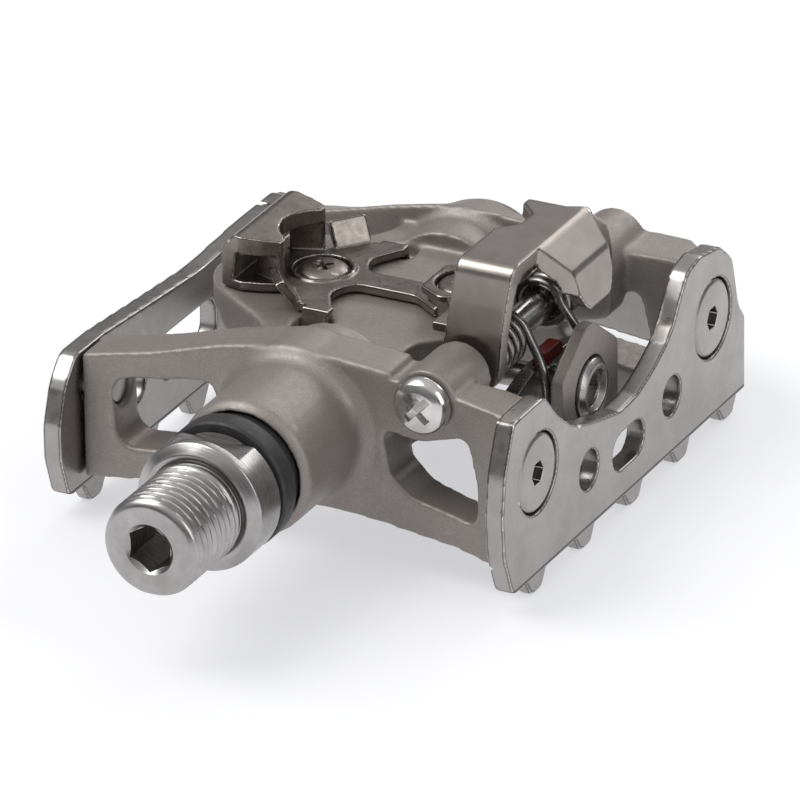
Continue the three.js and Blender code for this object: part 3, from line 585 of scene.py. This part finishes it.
def make_sleeve():
    """The seal ring and the threaded sleeve behind it, as one ring."""
    profile = rounded([
        (7.35, 7.7), (9.2, 7.7), (9.52, 8.1), (9.52, 10.9), (9.2, 11.3), (8.4, 11.3), (8.4, 19.0),
        (7.35, 19.0),
    ], 0.12, 2)
    profile.append(profile[0])
    sleeve = put("seal_sleeve", lathe_data(profile, (0, 0, 0), ALONG_Y, 128), RESIN)
    stand_for(sleeve, "lock_sleeve", "body")


def make_end_dome():
    profile = rounded([
        (0, 87.0), (8.3, 87.0), (8.3, 88.2), (9.5, 88.2), (9.5, 88.45), (8.6, 88.9), (6.2, 89.2),
        (3.0, 89.35), (0, 89.4),
    ], 0.25, 3)
    dome = put("end_dome", lathe_data(profile, (0, 0, 0), ALONG_Y, 128), CASTING, 50)
    stand_for(dome, "end_cap", "body")


def make_pivot_pin():
    """The pin's domed head has a cross recess in its face at PIN_FACE_Y."""
    profile = rounded([
        (0, PIN_FACE_Y), (1.6, 26.15), (2.7, 26.4), (3.6, 26.85), (4.05, 27.5), (4.15, 28.1),
        (4.15, 28.6), (2.2, 28.6), (2.2, 86.2), (0, 86.2),
    ], 0.25, 3)
    pin = put("pivot_pin_turned", lathe_data(profile, PIVOT, ALONG_Y), BRIGHT)
    face = (PIVOT[0], PIN_FACE_Y, PIVOT[2])
    carve(pin, *cross_tools(5.4, 1.25, face, ALONG_Y, -1.0, 1.55, EIGHTH_TURN))
    round_edges(pin, 0.07)
    stand_for(pin, "pivot_pin", "body")


def make_cage_bolts():
    """Four flush bolts with hex sockets. The front ones have smaller heads."""
    for side_name, (side, head) in BOLT_SIDES.items():
        profile = rounded([
            (0, 35.62), (head - 0.5, 35.62), (head, 35.3), (head, 34.3), (2.3, 34.3), (2.3, 28.4),
            (0, 28.4),
        ], 0.12, 2)
        for end_name, y in BOLT_YS.items():
            node = f"cage_bolt_{side_name}_{end_name}"
            line = ((0, y, BOLT_Z), (side, 0, 0))
            bolt = put(node + "_turned", lathe_data(profile, *line), BOLT_PLATING)
            carve(bolt, put("key", prism_data(hexagon(3.1), *line, 33.2, 37, TAU / 12), BOLT_PLATING))
            round_edges(bolt, 0.08)
            stand_for(bolt, node, "body")


def make_plate_screws():
    for node, (x, seat) in SCREWS.items():
        profile = rounded([
            (0, seat + 1.0), (1.8, seat + 0.98), (2.9, seat + 0.85), (3.45, seat + 0.6),
            (3.7, seat + 0.25), (3.7, seat), (2.0, seat), (2.0, 2.0), (0, 2.0),
        ], 0.15, 3)
        screw = put(node + "_turned", lathe_data(profile, (x, MID_Y, 0), (0, 0, 1)), GUNMETAL)
        top = (x, MID_Y, seat + 1.0)
        carve(screw, *cross_tools(3.9, 0.8, top, (0, 0, 1), -0.95, 0.6, EIGHTH_TURN))
        round_edges(screw, 0.06)
        stand_for(screw, node, "body")


def make_tension_bolt():
    profile = rounded([
        (0, 30.2), (2.7, 30.2), (3.0, 31.15), (3.7, 31.15), (4.45, 30.5), (4.45, 28.5), (1.9, 28.5),
        (1.9, 10.0), (0, 10.0),
    ], 0.15, 3)
    line = ((0, MID_Y, TENSION_Z), (1, 0, 0))
    bolt = put("tension_bolt_turned", lathe_data(profile, *line), STEEL)
    carve(bolt, put("key", prism_data(hexagon(4), *line, 28.9, 33, 0.2), STEEL))
    round_edges(bolt, 0.07)
    stand_for(bolt, "tension_bolt", "bolt")


# ---------------------------------------------------------------- springs
SPRING_Y = 44.6
SPRING_TURNS = 5
SPRING_PITCH = 1.75
COIL_R = 3.35
COIL_START = 0.25
WIRE_R = 0.65


def spring_points(start_y, side):
    """The wire's centre line: upper leg, turns round the pin, lower leg. side is the way it winds along Y."""
    per_turn = 28
    end = start_y + side * SPRING_TURNS * SPRING_PITCH
    upper = [Vector(p) for p in (
        (21.8, start_y + side * 4.6, 16.2), (22.3, start_y + side * 2.2, 13.8), (22.9, start_y, 10.9),
    )]
    coils = []
    for k in range(SPRING_TURNS * per_turn + 1):
        t = COIL_START - TAU * k / per_turn
        y = start_y + side * SPRING_PITCH * k / per_turn
        coils.append(Vector((PIVOT[0] + COIL_R * math.cos(t), y, PIVOT[2] + COIL_R * math.sin(t))))
    lower = [Vector(p) for p in (
        (25.2, end - side * 0.5, 5.0), (26.8, end - side * 1.3, 1.9), (26.9, end - side * 1.5, -2.0),
    )]
    return upper + coils + lower


def make_spring(node, start_y, side):
    points = spring_points(start_y, side)
    curve = bpy.data.curves.new(node + "_wire", "CURVE")
    curve.dimensions = "3D"
    curve.bevel_depth = WIRE_R * MM
    curve.bevel_resolution = 5
    curve.resolution_u = 4
    curve.use_fill_caps = True
    line = curve.splines.new("NURBS")
    line.points.add(len(points) - 1)
    for p, v in zip(line.points, points):
        p.co = (*(v * MM), 1)
    line.order_u = 3
    line.use_endpoint_u = True
    curve.materials.append(SPRING)
    wire = bpy.data.objects.new(node + "_wire", curve)
    bpy.context.scene.collection.objects.link(wire)
    stand_for(wire, node, "body")


# ---------------------------------------------------------------- cast, pressed and plated pieces
# Each row: node, finish, voxel size in millimetres, smoothing passes.
SKINS = (
    ("body_casting", CASTING, 0.40, 9),
    ("cage", CHROME, 0.27, 6),
    ("binding_plate", GUNMETAL, 0.17, 4),
    ("rear_claw", NICKEL, 0.18, 6),
    ("tension_bracket", CASTING, 0.16, 5),
    ("tension_carrier", STEEL, 0.15, 4),
    ("tension_indicator", RED, 0.10, 4),
)
INNER_STEEL = (
    "inboard_cup", "inboard_balls", "outboard_cup", "outboard_balls", "outboard_cone", "key_washer",
    "lock_nut",
)


# ---------------------------------------------------------------- studio
def make_floor():
    """A level sheet just under the pedal's lowest point."""
    low = CAD_BOX[0].z - 0.2 * MM
    half = 3.0
    steps = 12
    verts = []
    for j in range(steps + 1):
        for i in range(steps + 1):
            verts.append(((i / steps * 2 - 1) * half, (j / steps * 2 - 1) * half, low))
    faces = []
    for j in range(steps):
        for i in range(steps):
            k = j * (steps + 1) + i
            faces.append((k, k + 1, k + steps + 2, k + steps + 1))
    mesh = bpy.data.meshes.new("floor")
    mesh.from_pydata(verts, [], faces)
    mesh.materials.append(floor_finish())
    floor = bpy.data.objects.new("floor", mesh)
    bpy.context.scene.collection.objects.link(floor)


def area_light(name, place, aim, size, power, tint=(1, 1, 1)):
    data = bpy.data.lights.new(name, "AREA")
    data.shape = "RECTANGLE"
    data.size, data.size_y = size
    data.energy = power
    data.color = tint
    lamp = bpy.data.objects.new(name, data)
    bpy.context.scene.collection.objects.link(lamp)
    lamp.location = place
    lamp.rotation_mode = "QUATERNION"
    lamp.rotation_quaternion = (Vector(aim) - Vector(place)).to_track_quat("-Z", "Y")
    lamp.visible_camera = False


def make_world():
    """A pale surround, darker below the horizon than above."""
    world = bpy.data.worlds.new("studio")
    bpy.context.scene.world = world
    world.use_nodes = True
    nodes, links = world.node_tree.nodes, world.node_tree.links
    back = nodes["Background"]
    coord = nodes.new("ShaderNodeTexCoord").outputs["Generated"]
    split = nodes.new("ShaderNodeSeparateXYZ")
    links.new(coord, split.inputs["Vector"])
    ramp = nodes.new("ShaderNodeValToRGB")
    stops = ramp.color_ramp
    stops.elements[0].position, stops.elements[0].color = 0.0, (0.20, 0.20, 0.21, 1)
    stops.elements[1].position, stops.elements[1].color = 1.0, (1.0, 1.0, 1.0, 1)
    middle = stops.elements.new(0.35)
    middle.color = (0.30, 0.30, 0.31, 1)
    upper = stops.elements.new(0.62)
    upper.color = (0.75, 0.75, 0.76, 1)
    links.new(split.outputs["Z"], ramp.inputs["Fac"])
    links.new(ramp.outputs["Color"], back.inputs["Color"])
    back.inputs["Strength"].default_value = 0.74


def make_lamps():
    aim = (0, 0.05, 0)
    area_light("key", (-0.45, -0.25, 0.75), aim, (0.6, 0.6), 5.2, (1, 0.99, 0.98))
    area_light("right", (0.85, -0.15, 0.40), aim, (0.35, 0.7), 2.0)
    area_light("back", (0.1, 0.95, 0.55), aim, (0.9, 0.3), 2.5)


def set_view():
    view = bpy.context.scene.view_settings
    view.view_transform = "Standard"
    view.look = "None"
    view.exposure = 0.0


# ---------------------------------------------------------------- the whole scene
make_axle()
make_sleeve()
make_end_dome()
make_pivot_pin()
make_cage_bolts()
make_plate_screws()
make_tension_bolt()
make_spring("spring_inboard", SPRING_Y, 1)
make_spring("spring_outboard", 2 * MID_Y - SPRING_Y, -1)
for row in SKINS:
    skin(*row)
for name in INNER_STEEL:
    paint(name, STEEL)
make_floor()
make_world()
make_lamps()
set_view()
